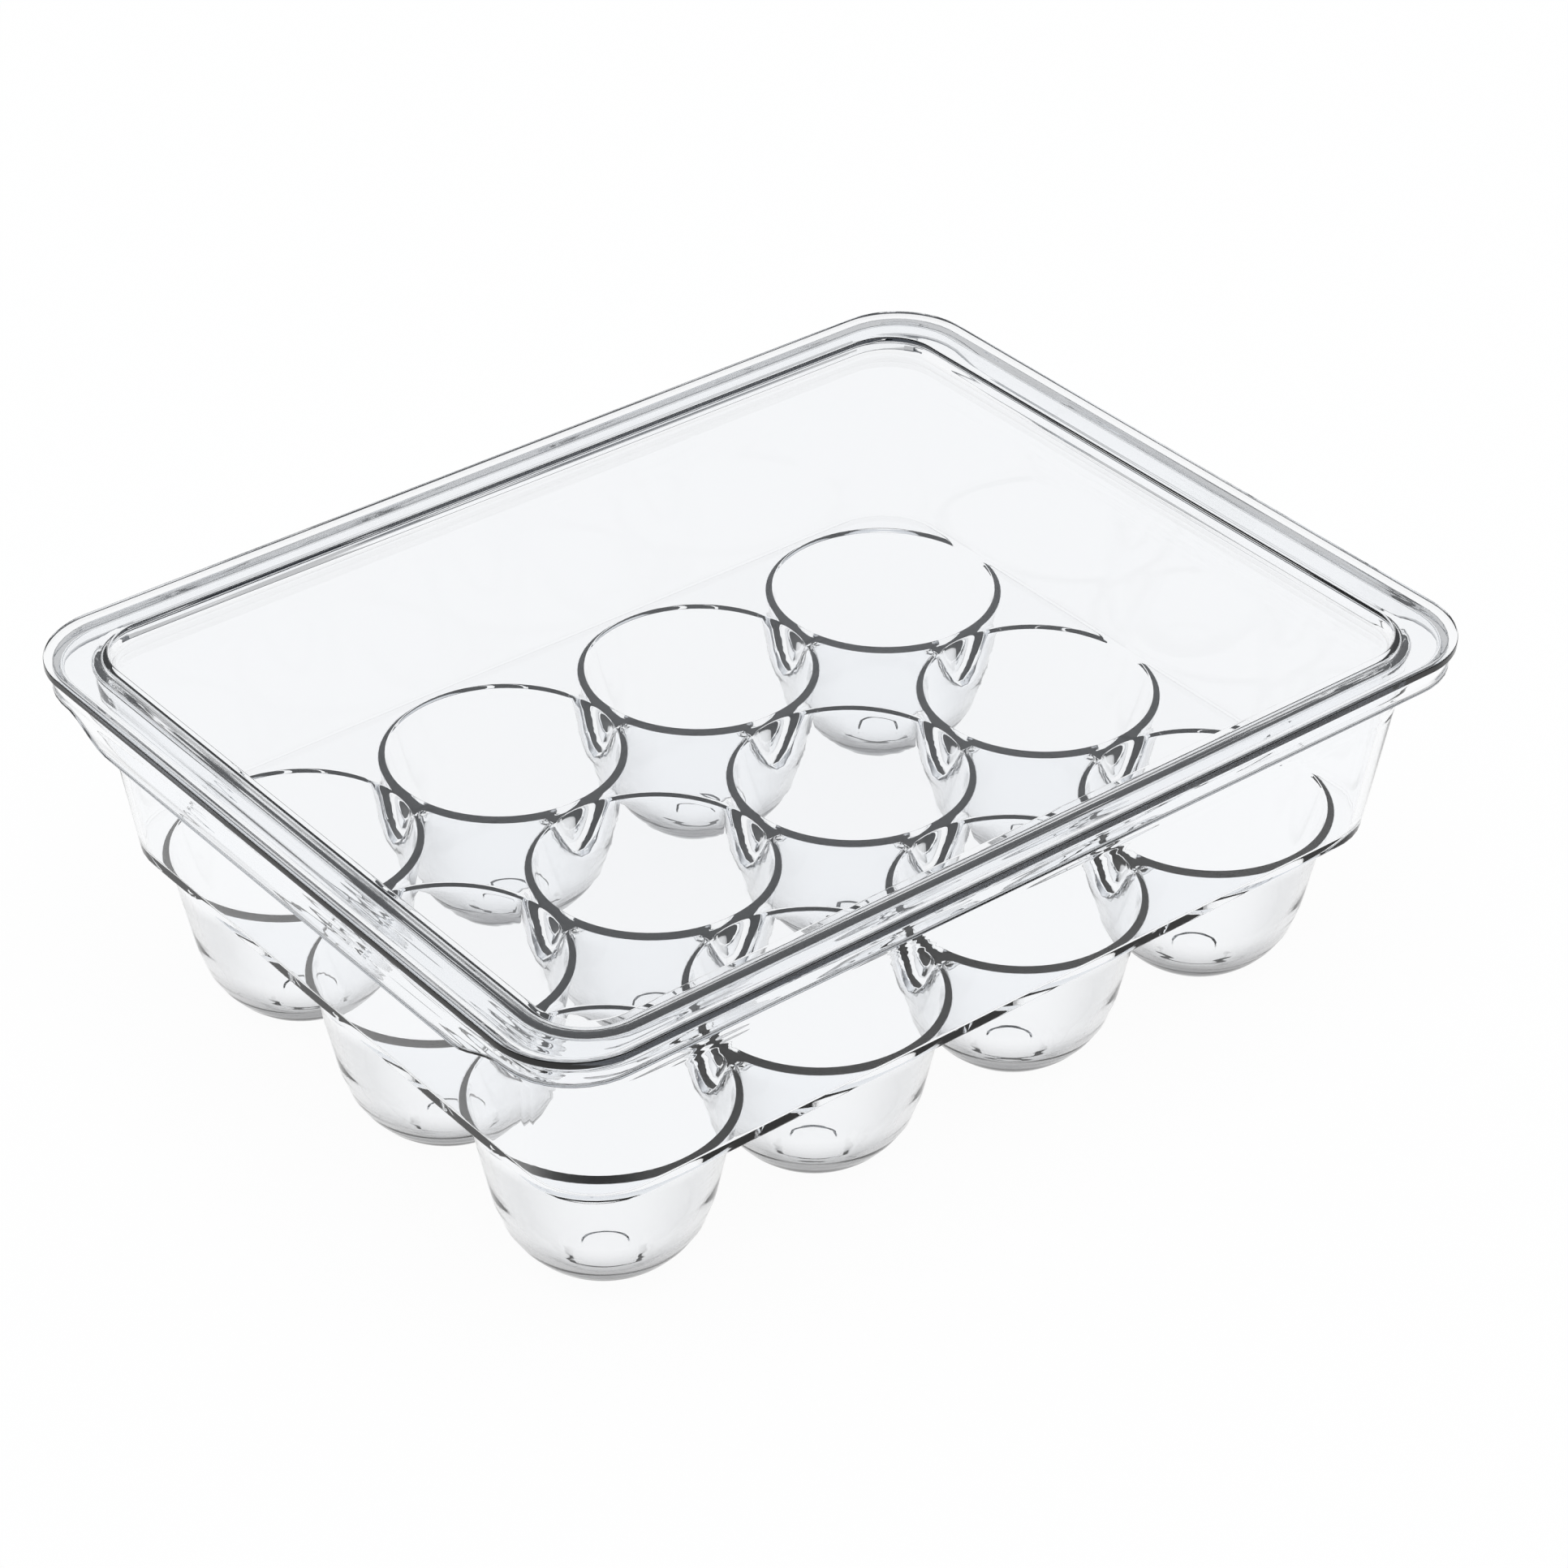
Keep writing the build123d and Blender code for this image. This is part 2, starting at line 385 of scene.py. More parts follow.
def cell_loops(cup, half, radius, count):
    """The edge of each cup's share of the deck: (cups, 4 count, 2) points and the cups' axes.

    Inner edges run midway between cups and outer ones on the outline given by half and
    radius. Points are spread by the tangent of even angles, so rays to them are even.
    """
    x = (np.arange(cup.columns) - (cup.columns - 1) / 2) * cup.spacing
    y = (np.arange(cup.rows) - (cup.rows - 1) / 2) * cup.spacing
    axes = np.stack(np.meshgrid(x, y), axis=-1).reshape(-1, 2)
    last = np.array([x[-1], y[-1]])
    slack = cup.spacing / 4
    low = np.where(axes < slack - last, -half, axes - cup.spacing / 2)
    high = np.where(axes > last - slack, half, axes + cup.spacing / 2)
    spread = np.tan(np.linspace(-1, 1, count, endpoint=False) * np.pi / 4)
    ones = np.ones(count)
    unit = np.vstack([
        np.stack([ones, spread], axis=1),
        np.stack([-spread, ones], axis=1),
        np.stack([-ones, -spread], axis=1),
        np.stack([spread, -ones], axis=1),
    ])
    middle, reach = (low + high) / 2, (high - low) / 2
    loops = middle[:, None] + reach[:, None] * unit[None]
    core = half - radius
    nearest = np.clip(loops, -core, core)
    away = np.linalg.norm(loops - nearest, axis=-1, keepdims=True)
    loops = nearest + (loops - nearest) * np.minimum(1, radius / np.maximum(away, WELD))
    return loops, axes


def ray_points(axes, loops, radii, steps):
    """Points along the rays from each axis to its loop, and their distance from the axis.

    The given radii come first, cut off at the loop, and then steps more that run from
    the last radius to the loop and crowd towards it: what is left of the way is the
    share of the steps left, to the power of crowd.
    """
    crowd = 1.5
    ray = loops - axes[:, None]
    reach = np.linalg.norm(ray, axis=-1)
    start = np.minimum(radii[-1], reach)
    left = (1 - np.arange(1, steps + 1) / steps) ** crowd
    inner = np.minimum(radii[:, None, None], reach[None])
    outer = reach[None] - (reach - start)[None] * left[:, None, None]
    distance = np.concatenate([inner, outer])
    places = axes[None, :, None] + distance[..., None] * (ray / reach[..., None])[None]
    return places, distance


def spread_between(knots, counts):
    """Numbers that run evenly from each knot to the next, in the given counts."""
    runs = [np.linspace(a, b, n, endpoint=False) for a, b, n in zip(knots, knots[1:], counts)]
    return np.concatenate(runs + [[knots[-1]]])


def top_height(distance, depth, cup, deck):
    """Height of the tray's upper surface at a distance from a cup's axis and a depth inside the wall.

    The lower of the cup's hollow and the deck, plus the rounding at the wall's foot.
    The hollow is the ball and cone, filled up to the flat inner floor.
    """
    hollow = cup_height(distance, cup, deck, cup.wall)
    floor = cup_height(np.array(cup.floor_radius), cup, deck, cup.wall)
    hollow = -smooth_min(-hollow, -floor, cup.floor_ease)
    return smooth_min(hollow, deck.deck_height, cup.rim_ease) + edge_rise(depth, deck.base_ease)


def under_height(distance, depth, web, cup, deck):
    """Height of the tray's lower surface at a distance from a cup's axis and a depth inside the wall.

    The lower of the cup's outside and the web, cut off by the flat foot, with the gate
    mark pressed into that. Above them lies the deck's underside with its rounded edge.
    """
    height = smooth_min(cup_height(distance, cup, deck, 0), web, cup.web_round)
    height = -smooth_min(-height, 0, cup.foot_ease)
    height = height + cup.gate_depth * smooth_step((cup.gate_radius - distance) / cup.gate_slope + 0.5)
    height = smooth_min(height, deck.deck_height - deck.deck_thickness, cup.under_ease)
    return height + edge_rise(depth, deck.base_ease)


def web_height(places, axes, cup, deck):
    """Height of the web's lower edge: a parabola across the way to the next cup.

    It hangs by the web's drop on the line between the axes, and meets the deck's top
    face half a web away from it. Where a cup has no neighbour it is far above the deck.
    """
    outward = places - axes[None, :, None]
    offset = np.abs(outward)
    across = offset.min(axis=-1)
    web = deck.deck_height - cup.web_drop * (1 - (across / cup.web_half_width) ** 2)
    last = np.abs(axes).max(axis=0) - WELD
    at_end = np.abs(axes)[None, :, None] > last
    leaving = at_end & (outward * axes[None, :, None] > 0)
    along_x = offset[..., 0] > offset[..., 1]
    return np.where(np.where(along_x, leaving[..., 0], leaving[..., 1]), TRAY_TOP, web)


def foot_shade_and_lines(height, deck):
    """How much a cup's outside takes the feet's painted shade, and its flow lines, at a height.

    All of it on the foot, less by a smooth step up the wall, and from there on a small
    share, which fades to nothing where the cup meets the deck.
    """
    foot_top, wall_start, wall_share, deck_fade = 0.006, 0.018, 0.3, 0.003
    up_wall = smooth_step((height - foot_top) / (wall_start - foot_top))
    below_deck = deck.deck_height - 2 * deck.deck_thickness - height
    return blend(1, wall_share, up_wall) * smooth_step(below_deck / deck_fade)


def tray_top(cup, deck, loops, axes):
    """The deck seen from above with its hollows, as rings round each cup's axis.

    The rings lie closest where the section bends: at the floor's edge and at the rim.
    """
    floor_start, floor_end = 0.95 * cup.floor_radius, 1.05 * cup.floor_radius
    ball_end = 0.77 * cup.rim_radius
    rim = cup.rim_radius - cup.wall / np.cos(np.arctan(cup.lean))
    rim_reach = 1.2 * cup.rim_ease * cup.lean
    knots = [0, floor_start, floor_end, ball_end, rim - rim_reach, rim + rim_reach]
    places, distance = ray_points(axes, loops, spread_between(knots, TOP_ROWS), TOP_DECK_ROWS)
    return marked(places, top_height(distance, deck.base_ease, cup, deck))


def tray_underside(cup, deck, loops, axes):
    """The deck seen from below with its cups, feet and webs, as rings round each cup's axis.

    The rings lie closest at the gate mark's side, the foot's edge and the rim.
    """
    slope = 0.55 * cup.gate_slope
    gate_start, gate_end = cup.gate_radius - slope, cup.gate_radius + slope
    foot = 0.256 * cup.rim_radius
    foot_start, foot_end = 0.97 * foot, 1.04 * foot
    ball_end = 0.83 * cup.rim_radius
    rim_start = cup.rim_radius - cup.lean * deck.deck_thickness * 2
    rim_end = 1.005 * cup.rim_radius
    knots = [0, gate_start, gate_end, foot_start, foot_end, ball_end, rim_start, rim_end]
    places, distance = ray_points(axes, loops, spread_between(knots, UNDER_ROWS), UNDER_DECK_ROWS)
    web = web_height(places, axes, cup, deck)
    height = under_height(distance, deck.base_ease, web, cup, deck)
    return marked(places, height, foot=foot_shade_and_lines(height, deck))


def rim_profile(deck, width):
    """The tray's rim in section: distance out from the mouth's outline, and height.

    Up the wall's inside, over the mouth, out along the flange, down the apron, round
    its lower edge, and back along the underside to the wall's outside.
    """
    inside_start, outside_end = TRAY_TOP - 0.003, TRAY_TOP - 0.006
    under = TRAY_TOP - deck.flange
    low = TRAY_TOP - deck.apron_height
    edge = width - deck.apron_inset
    low_edge = edge + deck.apron_flare * deck.apron_height
    under_edge = edge + deck.apron_flare * deck.flange - deck.apron
    corners = [
        (0, inside_start),
        (0, TRAY_TOP),
        (edge, TRAY_TOP),
        (low_edge, low),
        (low_edge - deck.apron, low),
        (under_edge, under),
        (deck.wall, under),
        (deck.wall, outside_end),
    ]
    small = deck.edge_round
    radii = [deck.mouth_round, small, small, small, deck.apron_round, deck.under_round]
    return rounded_corners(corners, radii, TRAY_ARC)


def mouth_size(out, cup, deck, width):
    """Half sizes and corner radius of the outline at a distance out from the tray's mouth.

    Near the mouth it is the wall's outline moved outward. From well out on the flange
    it is the rim's own outline, and between them a smooth step leads from one to the other.
    """
    half, radius = mouth_outline(cup, deck)
    start, stretch = 0.35 * width, 0.3 * width
    share = smooth_step((out - start) / stretch)
    half = half + out[..., None] + share[..., None] * (RIM_HALF - half - width)
    return half, radius + out + share * (deck.corner_radius - radius - width)


def rim_painted_shade(profile, deck, width):
    """How much each point of the rim's section takes painted dark shade at an edge.

    A share at the flange's outer corner, a larger one at the apron's foot, and nothing
    elsewhere. Each mark reaches a little further than the rounding.
    """
    # Shares of painted dark shade at the flange's outer corner and at the apron's foot.
    corner_dark, foot_dark = 0.5, 0.7
    reach = 1.1 * deck.edge_round
    out, height = profile.T
    outer = out > width / 2
    corner = outer & (height > TRAY_TOP - reach) & (out > width - deck.apron_inset - reach)
    foot = outer & (height < TRAY_TOP - deck.apron_height + reach)
    return np.maximum(corner_dark * corner, foot_dark * foot)


def tray_rim(cup, deck, share, normal, width):
    """The rim as one strip, from the wall's inside round to its outside.

    The section is carried round the outline. At the ends the apron is stretched down to
    the grip's height, and on outward along its flare; its lower edge moves as it is.
    """
    profile = rim_profile(deck, width)
    half, radius = mouth_size(profile[:, 0], cup, deck, width)
    ring = outline_at(share, normal, half[:, None], radius[:, None, None])
    height = np.repeat(profile[:, 1:], len(share), axis=1)
    under = TRAY_TOP - deck.flange
    kept = 0.0007  # height of the apron's lower edge, which isn't stretched
    on_apron = (profile[:, 0] > width / 2)[:, None]
    drop = np.clip((under - height) / (deck.apron_height - deck.flange - kept), 0, 1) * on_apron
    straight = 0.999  # of a normal's length, past which it counts as square to an end
    at_end = np.abs(normal[:, 0]) > straight
    past_grip = np.abs(ring[..., 1]) - deck.grip_half_length
    grip = smooth_step(1 - past_grip / deck.grip_slope) * at_end
    extra = drop * grip * (deck.grip_height - deck.apron_height)
    ring = ring + normal * (extra * deck.apron_flare)[..., None]
    return marked(ring, height - extra, rim_painted_shade(profile, deck, width)[:, None])


def wall_foot(share, normal, half, radius, axes, height_at, base, deck):
    """The rounding between the deck and the side wall, from the deck up to the wall.

    A quarter circle moved along the wall's outline. Where a cup's hollow cuts into it,
    the height follows the hollow. The last ring lies level, where the wall begins.
    """
    turn = np.linspace(0, np.pi / 2, TRAY_ARC)
    depth = deck.base_ease * (1 - np.sin(turn))
    ring = outline_at(share, normal, half - depth[:, None, None], radius - depth[:, None, None])
    distance = np.linalg.norm(ring - axes, axis=-1)
    height = height_at(distance, depth[:, None])
    height[-1] = base + deck.base_ease
    return marked(ring, height)


def wall_ring(share, normal, height, inward, cup, deck):
    """One level ring on the side wall, which keeps the wall's shading flat beside a rounding."""
    half, radius = wall_size(height, cup, deck, inward)
    return marked(outline_at(share, normal, half, radius), height)[None]


def build_tray(cup, deck):
    """All grids of the tray: deck tops, deck undersides, and the strip of side wall and rim.

    The points where the cups' shares of the deck meet the outline are put in order by
    their turn about the middle. The strip starts and ends at those same points.
    """
    ease = deck.base_ease
    top_base = deck.deck_height
    under_base = deck.deck_height - deck.deck_thickness
    outer_half, outer_radius = wall_size(under_base + ease, cup, deck, 0)
    inner_half, inner_radius = wall_size(top_base + ease, cup, deck, deck.wall)
    outer_loops, axes = cell_loops(cup, outer_half - ease, outer_radius - ease, RAYS)
    share, normal = outline_frame(outer_loops, outer_half - ease, outer_radius - ease)
    on_outline = np.abs(depth_inside(outer_loops, outer_half - ease, outer_radius - ease)) < WELD
    inner_loops, _ = cell_loops(cup, inner_half - ease, inner_radius - ease, RAYS)
    moved = outline_at(share, normal, inner_half - ease, inner_radius - ease)
    inner_loops = np.where(on_outline[..., None], moved, inner_loops)
    top = tray_top(cup, deck, inner_loops, axes)
    under = tray_underside(cup, deck, outer_loops, axes)
    cells = [grid[:, i] for grid in (top, under) for i in range(len(axes))]

    edge = outer_loops[on_outline]
    same_turn = 7  # decimals to which the turns of one point agree
    turn = np.round(np.arctan2(edge[:, 1], edge[:, 0]), same_turn)
    _, order = np.unique(turn, return_index=True)
    share, normal = share[on_outline][order], normal[on_outline][order]
    near = np.repeat(axes[:, None], outer_loops.shape[1], axis=1)[on_outline][order]

    def top_at(distance, depth):
        """Height of the upper surface."""
        return top_height(distance, depth, cup, deck)

    def under_at(distance, depth):
        """Height of the lower surface, at whose edge there is no web."""
        return under_height(distance, depth, TRAY_TOP, cup, deck)

    support = 1.6 * ease
    strip = [
        wall_foot(share, normal, inner_half, inner_radius, near, top_at, top_base, deck),
        wall_ring(share, normal, top_base + support, deck.wall, cup, deck),
        tray_rim(cup, deck, share, normal, rim_width(cup, deck)),
        wall_ring(share, normal, under_base + support, 0, cup, deck),
        wall_foot(share, normal, outer_half, outer_radius, near, under_at, under_base, deck)[::-1],
    ]
    return cells + [np.concatenate(strip)]


# ---------------------------------------------------------------- lid

def lid_profile(lid, width, middle):
    """The lid in section: distance out from the tray's mouth, and height.

    Out along the panel's top, up the recess wall, over the rim and its edge, back
    along the underside, down the outside of the sunken part and in again. The recess
    wall's outside passes the mouth's edge at the clearance.
    """
    floor = LID_TOP - lid.recess_depth
    under = LID_TOP - lid.thickness
    slant = lid.thickness / np.cos(np.arctan(lid.recess_lean))
    mouth_level = TRAY_TOP - 0.001
    outside = -lid.clearance - lid.recess_lean * mouth_level
    inside = outside - slant
    corners = [
        (middle, floor),
        (inside + lid.recess_lean * floor, floor),
        (inside + lid.recess_lean * LID_TOP, LID_TOP),
        (width, LID_TOP),
        (width, under),
        (outside + lid.recess_lean * under, under),
        (outside + lid.recess_lean * (floor - lid.thickness), floor - lid.thickness),
        (middle, floor - lid.thickness),
    ]
    radii = [lid.floor_round, lid.top_round, lid.edge_round, lid.edge_round, lid.floor_round, lid.top_round]
    return rounded_corners(corners, radii, LID_ARC)


def build_lid(cup, deck, lid):
    """The lid as one section carried round rounded rectangles, closed at the panel's middle.

    The corners shrink to points well inside the mouth, where the panel is flat, and the
    rings there end in one point above and one below.
    """
    width = rim_width(cup, deck)
    middle = -0.9 * mouth_outline(cup, deck)[0].min()
    profile = lid_profile(lid, width, middle)
    half, radius = mouth_size(profile[:, 0], cup, deck, width)
    inset = 0.01  # metres in from the mouth, past which the corners are points
    radius = np.where(profile[:, 0] < -inset, 0.0, radius)
    turn = (np.arange(LID_TURNS) + 0.5) * 2 * np.pi / LID_TURNS
    normal = np.stack([np.cos(turn), np.sin(turn)], axis=1)
    ring = outline_at(np.sign(normal), normal, half[:, None], radius[:, None, None])
    pole = np.zeros_like(ring[:1])
    out, height = np.vstack([profile[:1], profile, profile[-1:]]).T
    # Painted dark shade on the lid's outer edge face: every point out past half its rounding.
    edge = 1.0 * (out > width - lid.edge_round / 2)
    return [marked(np.concatenate([pole, ring, pole]), height[:, None], edge[:, None])]


# ---------------------------------------------------------------- materials

def feed(links, value, socket):
    """Sets a socket to a constant, or links a node's output to it."""
    if isinstance(value, bpy.types.NodeSocket):
        links.new(value, socket)
    else:
        socket.default_value = value


def figure(nodes, links, operation, first, second):
    """A number worked out from two others by a math node."""
    node = nodes.new("ShaderNodeMath")
    node.operation = operation
    feed(links, first, node.inputs[0])
    feed(links, second, node.inputs[1])
    return node.outputs["Value"]


def rising(nodes, links, value, low, high, top=1.0, way="SMOOTHSTEP"):
    """A number that goes from 0 to top, by a smooth step, as the value goes from low to high."""
    node = nodes.new("ShaderNodeMapRange")
    node.interpolation_type = way
    links.new(value, node.inputs["Value"])
    node.inputs["From Min"].default_value = low
    node.inputs["From Max"].default_value = high
    feed(links, top, node.inputs["To Max"])
    return node.outputs["Result"]


def mixed_colour(nodes, links, share, first, second):
    """A colour between two, each a constant or a node's output, by a share from a node."""
    mix = nodes.new("ShaderNodeMix")
    mix.data_type = "RGBA"
    links.new(share, mix.inputs["Factor"])
    feed(links, first, mix.inputs["A"])
    feed(links, second, mix.inputs["B"])
    return mix.outputs["Result"]


def height_of(nodes, links, place):
    """The upward part of a place or a direction."""
    parts = nodes.new("ShaderNodeSeparateXYZ")
    links.new(place, parts.inputs["Vector"])
    return parts.outputs["Z"]


def mark(nodes, name):
    """How much the surface takes painted dark shade at an edge or a foot, as the mesh holds it."""
    node = nodes.new("ShaderNodeAttribute")
    node.attribute_name = name
    return node.outputs["Fac"]


def noise_bumps(nodes, links, place, scale, depth):
    """A bump node fed with soft noise of a scale, which stands up to a depth in metres."""
    noise = nodes.new("ShaderNodeTexNoise")
    noise.inputs["Scale"].default_value = scale
    noise.inputs["Detail"].default_value = 1
    links.new(place, noise.inputs["Vector"])
    bumps = nodes.new("ShaderNodeBump")
    bumps.inputs["Distance"].default_value = depth
    links.new(noise.outputs["Fac"], bumps.inputs["Height"])
    return bumps


def flow_marks(nodes, links, foot, look):
    """The surface's direction with faint ripples all over, and level lines on the rim and the feet.

    The lines are noise squeezed in height. Their strength is the larger of two: a rise
    from 0 to 1 below the rim, and the square of the foot's mark.
    """
    ripple_scale, line_scale, squeeze = 60, 1, (8, 8, 400)
    place = nodes.new("ShaderNodeTexCoord").outputs["Object"]
    ripples = noise_bumps(nodes, links, place, ripple_scale, look.ripple)
    stretch = nodes.new("ShaderNodeMapping")
    stretch.inputs["Scale"].default_value = squeeze
    links.new(place, stretch.inputs["Vector"])
    lines = noise_bumps(nodes, links, stretch.outputs["Vector"], line_scale, look.rim_ripple)
    rim_end = look.rim_start + look.rim_fade
    on_rim = rising(nodes, links, height_of(nodes, links, place), look.rim_start, rim_end, way="LINEAR")
    on_foot = figure(nodes, links, "MULTIPLY", foot, foot)
    links.new(figure(nodes, links, "MAXIMUM", on_rim, on_foot), lines.inputs["Strength"])
    links.new(ripples.outputs["Normal"], lines.inputs["Normal"])
    return lines.outputs["Normal"]


def clear_plastic(name, tint, shine, look):
    """Clear moulded plastic with flow marks, and painted dark shade at its marked edges and on its feet.

    On the feet the painted shade grows by a smooth step with how far side on the surface is
    seen, up to the foot's mark. At the edges its share is the edge's mark.
    """
    material = bpy.data.materials.new(name)
    material.use_nodes = True
    nodes, links = material.node_tree.nodes, material.node_tree.links
    shader = nodes["Principled BSDF"]
    shader.inputs["Base Color"].default_value = (*tint, 1)
    shader.inputs["Transmission Weight"].default_value = 1
    shader.inputs["IOR"].default_value = look.ior
    shader.inputs["Roughness"].default_value = 0
    shader.inputs["Specular Tint"].default_value = (shine, shine, shine, 1)
    # Masks of the painted shade, at the feet and at the edges; the foot's mask also strengthens the flow
    # lines.
    foot, edge = mark(nodes, "foot"), mark(nodes, "edge")
    links.new(flow_marks(nodes, links, foot, look), shader.inputs["Normal"])
    # Painted shade on the feet, which darkens them more the more side on they are seen.
    facing = nodes.new("ShaderNodeLayerWeight").outputs["Facing"]
    foot_end = look.foot_start + look.foot_shade_span
    on_foot = rising(nodes, links, facing, look.foot_start, foot_end, top=foot)
    # The tint blends towards the near-black painted shade tint, first on the feet and then on the edges.
    tone = mixed_colour(nodes, links, on_foot, (*tint, 1), (*look.painted_shade_tint, 1))
    tone = mixed_colour(nodes, links, edge, tone, (*look.painted_shade_tint, 1))
    links.new(tone, shader.inputs["Base Color"])
    return material


# ---------------------------------------------------------------- stage

def seen_rays(nodes, links):
    """One for rays from the camera or through a mirror or clear surface, and zero for lighting."""
    path = nodes.new("ShaderNodeLightPath").outputs
    seen = figure(nodes, links, "MAXIMUM", path["Is Camera Ray"], path["Is Glossy Ray"])
    return figure(nodes, links, "MAXIMUM", seen, path["Is Transmission Ray"])


def white_floor(stage):
    """A flat floor just under the feet that looks white, and that the object still shades."""
    tone, roughness = 0.9, 0.9
    half = stage.floor_half
    level = -stage.floor_drop
    corners = [(-half, -half, level), (half, -half, level), (half, half, level), (-half, half, level)]
    mesh = bpy.data.meshes.new("floor")
    mesh.from_pydata(corners, [], [(0, 1, 2, 3)])
    material = bpy.data.materials.new("white floor")
    material.use_nodes = True
    nodes, links = material.node_tree.nodes, material.node_tree.links
    shader = nodes["Principled BSDF"]
    shader.inputs["Base Color"].default_value = (tone, tone, tone, 1)
    shader.inputs["Roughness"].default_value = roughness
    shader.inputs["Specular IOR Level"].default_value = 0
    glow = nodes.new("ShaderNodeEmission")
    mix = nodes.new("ShaderNodeMixShader")
    links.new(figure(nodes, links, "MULTIPLY", seen_rays(nodes, links), stage.floor_glow), mix.inputs[0])
    links.new(shader.outputs[0], mix.inputs[1])
    links.new(glow.outputs[0], mix.inputs[2])
    links.new(mix.outputs[0], nodes["Material Output"].inputs["Surface"])
    mesh.materials.append(material)
    floor = bpy.data.objects.new("floor", mesh)
    bpy.context.scene.collection.objects.link(floor)


def studio_world(scene, stage):
    """A plain studio round the object: dark at the front and overhead, pale behind, white at the horizon.

    How far a direction points backward is its dot product with one fixed direction, and
    a smooth step of that leads from the dark tone to the pale one. A second smooth step,
    of the direction's height, turns both white near the horizon.
    """
    backward, dark_end, pale_end = (0.6, 0.74, -0.3), -0.6, 0.5
    tinted_from, white_below = 0.3, 0.15
    world = bpy.data.worlds.new("studio")
    scene.world = world
    world.use_nodes = True
    nodes, links = world.node_tree.nodes, world.node_tree.links
    direction = nodes.new("ShaderNodeTexCoord").outputs["Generated"]
    toward = nodes.new("ShaderNodeVectorMath")
    toward.operation = "DOT_PRODUCT"
    toward.inputs[1].default_value = backward
    links.new(direction, toward.inputs[0])
    behind = rising(nodes, links, toward.outputs["Value"], dark_end, pale_end)
    tone = mixed_colour(nodes, links, behind, (*stage.dark_tone, 1), (*stage.pale_tone, 1))
    low = rising(nodes, links, height_of(nodes, links, direction), tinted_from, white_below)
    sky = mixed_colour(nodes, links, low, tone, (1, 1, 1, 1))
    links.new(sky, nodes["Background"].inputs["Color"])


def soft_lamp(scene, stage):
    """A broad lamp overhead that brings the light to a plain level, left out of reflections."""
    light = bpy.data.lights.new("overhead", "SUN")
    light.energy = stage.lamp_strength
    light.angle = LAMP_WIDTH
    lamp = bpy.data.objects.new("overhead", light)
    lamp.rotation_euler = LAMP_TURN
    lamp.visible_glossy = False
    lamp.visible_transmission = False
    scene.collection.objects.link(lamp)


def standing_camera(scene, stage):
    """A camera at its place, turned about the vertical, tilted down and rolled by the stage's angles."""
    camera = bpy.data.objects.new("camera", bpy.data.cameras.new("camera"))
    camera.data.sensor_width = SENSOR_WIDTH
    camera.data.lens = stage.lens
    camera.location = stage.camera_place
    turn = Matrix.Rotation(stage.azimuth, 3, "Z") @ Matrix.Rotation(np.pi / 2 - stage.elevation, 3, "X")
    camera.rotation_euler = (turn @ Matrix.Rotation(stage.roll, 3, "Z")).to_euler()
    scene.collection.objects.link(camera)
    scene.camera = camera


# ---------------------------------------------------------------- operators

class EGG_OT_tray(bpy.types.Operator):
    """Builds the tray: deck, twelve cups, webs, side wall and rim in one moulding"""

    bl_idname = "egg.tray"
    bl_label = "Build tray"

    def execute(self, context):
        scene = context.scene
        look = scene.egg_look
        material = clear_plastic("tray clear plastic", look.tray_tint, look.tray_shine, look)
        grids = build_tray(scene.egg_cups, scene.egg_tray)
        piece = closed_mesh("tray_moulding", grids, material, "tray", ["egg_tray"])
        return {"FINISHED"}


class EGG_OT_lid(bpy.types.Operator):
    """Builds the lid: rim, recess wall and sunken panel in one moulding"""

    bl_idname = "egg.lid"
    bl_label = "Build lid"

    def execute(self, context):
        scene = context.scene
        look = scene.egg_look
        material = clear_plastic("lid clear plastic", look.lid_tint, look.lid_shine, look)
        grids = build_lid(scene.egg_cups, scene.egg_tray, scene.egg_lid)
        piece = closed_mesh("lid_moulding", grids, material, "lid", ["lid"])
        return {"FINISHED"}


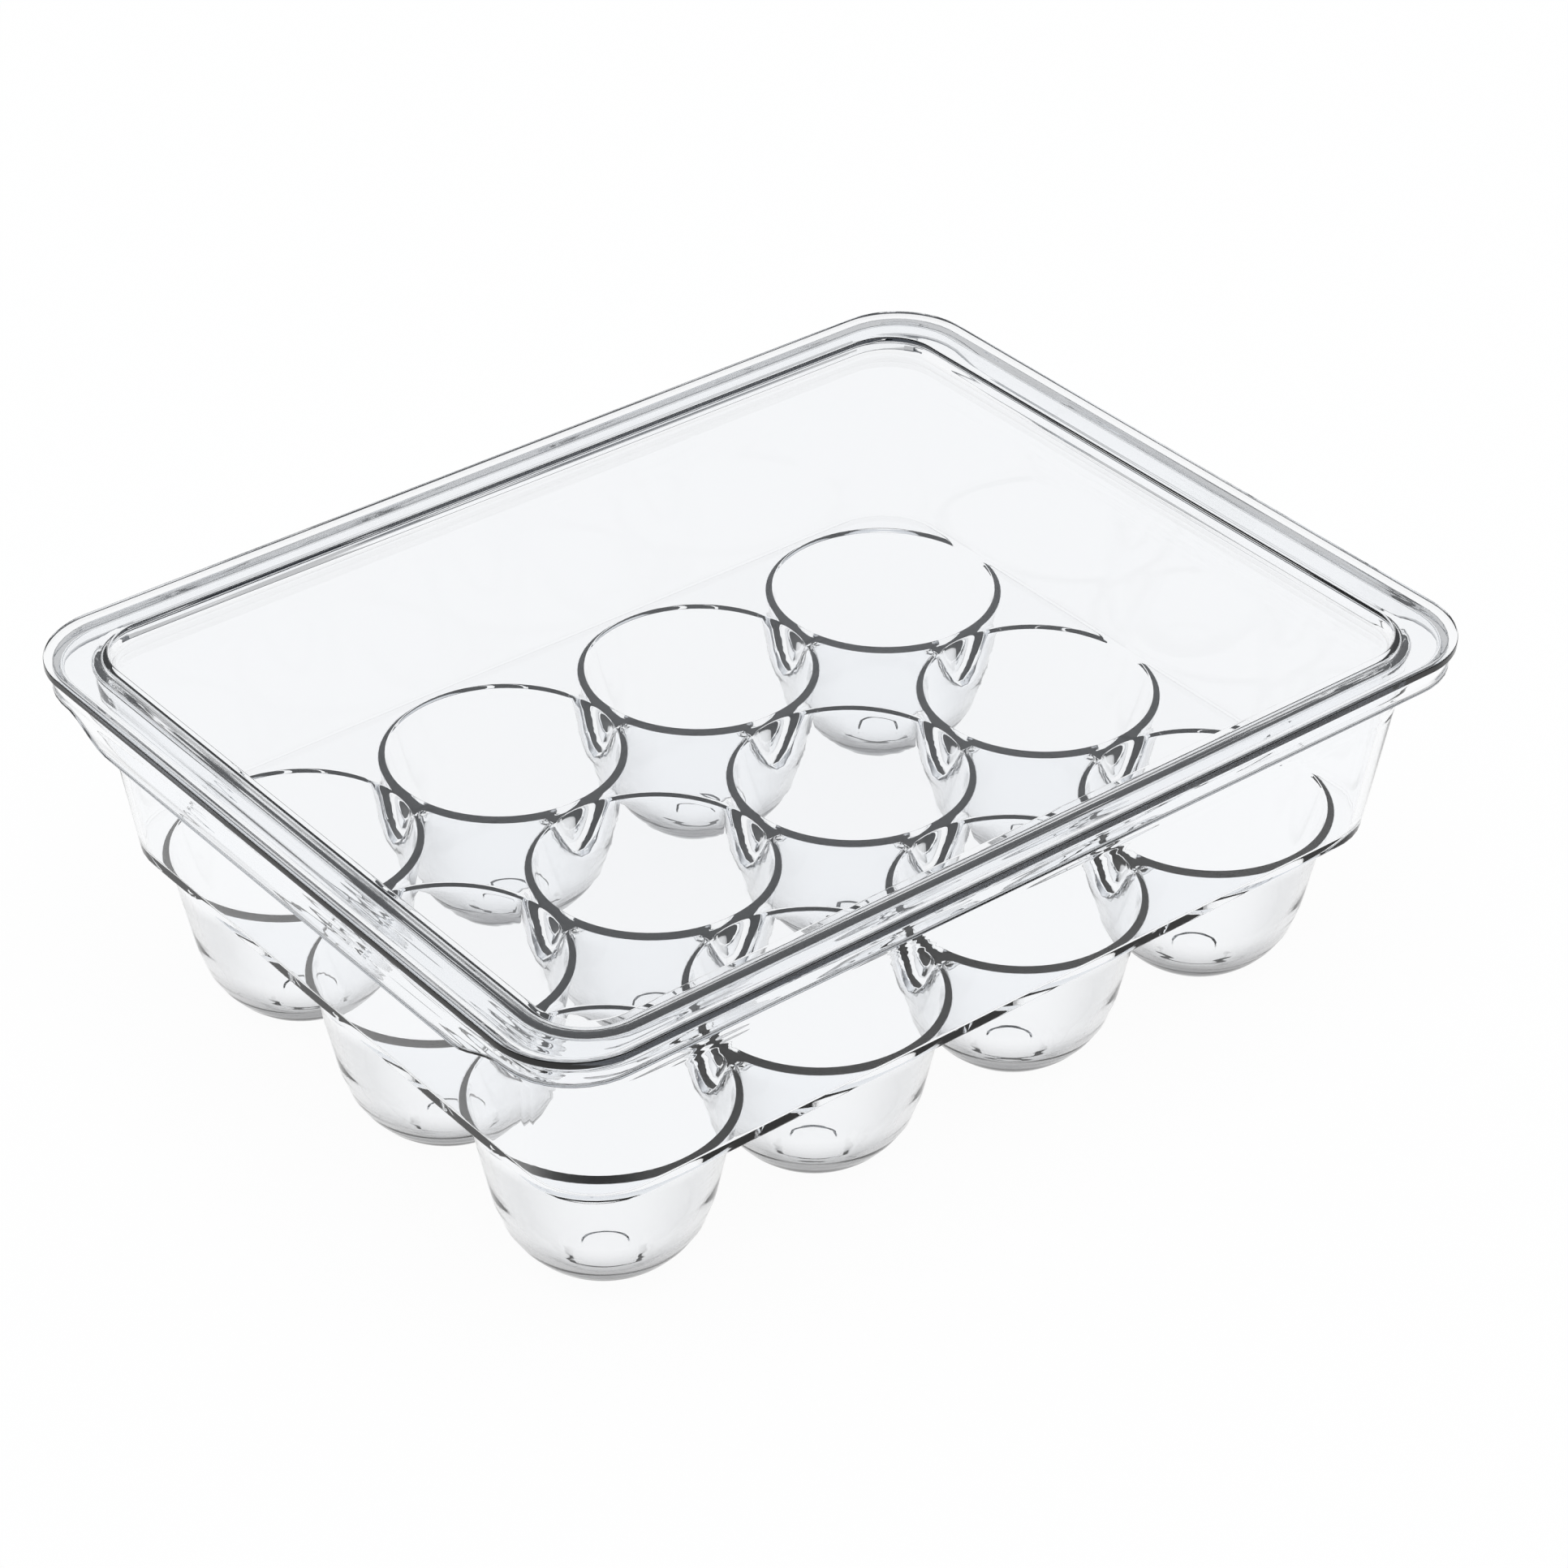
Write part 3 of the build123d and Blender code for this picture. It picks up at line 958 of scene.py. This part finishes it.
class EGG_OT_stage(bpy.types.Operator):
    """Sets the white floor, the plain studio light and the camera"""

    bl_idname = "egg.stage"
    bl_label = "Set the stage"

    def execute(self, context):
        scene = context.scene
        stage = scene.egg_stage
        scene.view_settings.view_transform = "Standard"
        white_floor(stage)
        studio_world(scene, stage)
        soft_lamp(scene, stage)
        standing_camera(scene, stage)
        return {"FINISHED"}


class EGG_PT_panel(bpy.types.Panel):
    """Lists the keeper's sizes and the steps that build it"""

    bl_label = "Egg Keeper"
    bl_idname = "EGG_PT_panel"
    bl_space_type = "VIEW_3D"
    bl_region_type = "UI"
    bl_category = "Egg Keeper"

    def draw(self, context):
        layout = self.layout
        for title, group, step in PANEL_ROWS:
            box = layout.box()
            box.label(text=title)
            settings = getattr(context.scene, group)
            for key in settings.bl_rna.properties.keys():
                if key not in ("rna_type", "name"):
                    box.prop(settings, key)
            if step:
                box.operator(step)


GROUPS = {
    "egg_cups": CupSizes,
    "egg_tray": TraySizes,
    "egg_lid": LidSizes,
    "egg_look": PlasticLook,
    "egg_stage": StageSizes,
}
PANEL_ROWS = (
    ("Cups", "egg_cups", ""),
    ("Tray", "egg_tray", "egg.tray"),
    ("Lid", "egg_lid", "egg.lid"),
    ("Plastic", "egg_look", ""),
    ("Stage", "egg_stage", "egg.stage"),
)
CLASSES = (*GROUPS.values(), EGG_OT_tray, EGG_OT_lid, EGG_OT_stage, EGG_PT_panel)


def register():
    """Registers the classes and hangs the settings on the scene."""
    for cls in CLASSES:
        bpy.utils.register_class(cls)
    for name, group in GROUPS.items():
        setattr(bpy.types.Scene, name, PointerProperty(type=group))


def unregister():
    """Takes the settings and the classes away again."""
    for name in GROUPS:
        delattr(bpy.types.Scene, name)
    for cls in reversed(CLASSES):
        bpy.utils.unregister_class(cls)


def main():
    """Builds the whole keeper and its stage."""
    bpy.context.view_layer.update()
    register()
    bpy.ops.egg.tray()
    bpy.ops.egg.lid()
    bpy.ops.egg.stage()


if __name__ == "__main__":
    main()
